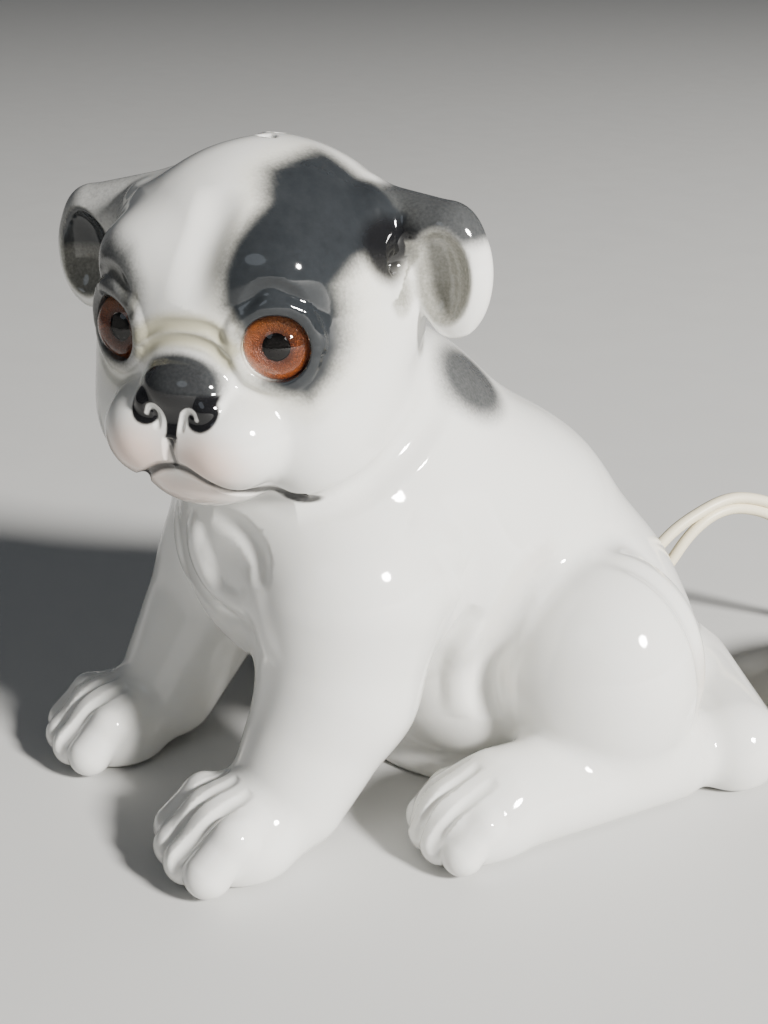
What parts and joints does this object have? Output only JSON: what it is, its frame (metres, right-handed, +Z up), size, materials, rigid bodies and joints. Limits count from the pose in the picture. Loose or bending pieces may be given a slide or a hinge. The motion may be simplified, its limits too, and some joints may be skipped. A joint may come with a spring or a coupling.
{
  "type": "ceramic_dog_figurine",
  "caption": "Ceramic dog figurine lamp: hollow glazed sitting bulldog puppy with glass eyes, a crown vent, a small bulb in its base and a flat flex with switch and plug",
  "frame": {"origin": "the middle of the figure's box on the surface it stands on", "axes": "+X the figure's left side, -Y the way its body faces, +Z up"},
  "size_m": [0.1775, 0.2821, 0.1584],
  "materials": {
    "glazed_porcelain": "gloss",
    "eye_glass": "gloss",
    "eye_iris": "gloss",
    "eye_pupil": "gloss",
    "eye_putty": "matt",
    "plated_steel": "satin",
    "lamp_brass": "satin",
    "brown_moulding": "gloss",
    "insert_ceramic": "matt",
    "bulb_glass": "gloss",
    "bulb_metal": "satin",
    "bulb_black_glass": "gloss",
    "filament": "satin",
    "cream_flex": "satin",
    "tie_wrap": "matt",
    "cream_moulding": "gloss",
    "nickel_plate": "gloss"
  },
  "bodies": {
    "figure": {"porcelain_body": "glazed_porcelain", "left_eye_glass": "eye_glass", "right_eye_glass": "eye_glass", "left_eye_iris": "eye_iris", "right_eye_iris": "eye_iris", "left_eye_pupil": "eye_pupil", "right_eye_pupil": "eye_pupil", "left_eye_putty": "eye_putty", "right_eye_putty": "eye_putty", "mounting_strap": "plated_steel", "threaded_nipple": "lamp_brass", "lock_nut_lower": "lamp_brass", "lock_nut_upper": "lamp_brass", "holder_base_cap": "brown_moulding", "holder_sleeve": "brown_moulding", "contact_insert": "insert_ceramic", "centre_contact": "lamp_brass", "screw_shell": "lamp_brass", "terminal_left": "lamp_brass", "terminal_right": "lamp_brass", "terminal_screw_left": "plated_steel", "terminal_screw_right": "plated_steel", "inner_lead_left": "cream_flex", "inner_lead_right": "cream_flex", "flex_to_switch": "cream_flex", "flex_to_coil": "cream_flex", "flex_coil": "cream_flex", "flex_to_plug": "cream_flex", "coil_tie": "tie_wrap", "switch_lower_housing": "cream_moulding", "switch_upper_housing": "cream_moulding", "rocker_pivot_pin": "plated_steel", "switch_contact_strip": "lamp_brass", "switch_terminal_1": "lamp_brass", "switch_terminal_2": "lamp_brass", "switch_screw_1": "plated_steel", "switch_screw_2": "plated_steel", "plug_lower_half": "cream_moulding", "plug_upper_half": "cream_moulding", "plug_pin_1": "nickel_plate", "plug_pin_2": "nickel_plate", "plug_screw": "plated_steel"},
    "bulb": {"bulb_glass": "bulb_glass", "bulb_cap": "bulb_metal", "bulb_insulator": "bulb_black_glass", "bulb_tip_contact": "bulb_metal", "bulb_stem": "bulb_glass", "bulb_filament": "filament"},
    "rocker": {"switch_rocker": "brown_moulding"}
  },
  "joints": [
    {"name": "bulb_unscrew", "type": "slide", "parent": "figure", "child": "bulb", "axis": [0, 0, 1], "range_m": [0, 0.011]},
    {"name": "rocker_tilt", "type": "hinge", "parent": "figure", "child": "rocker", "pos_m": [0.0334, 0.1692, 0.0119], "axis": [0.5736, -0.8192, 0], "range_deg": [0, 18]}
  ]
}
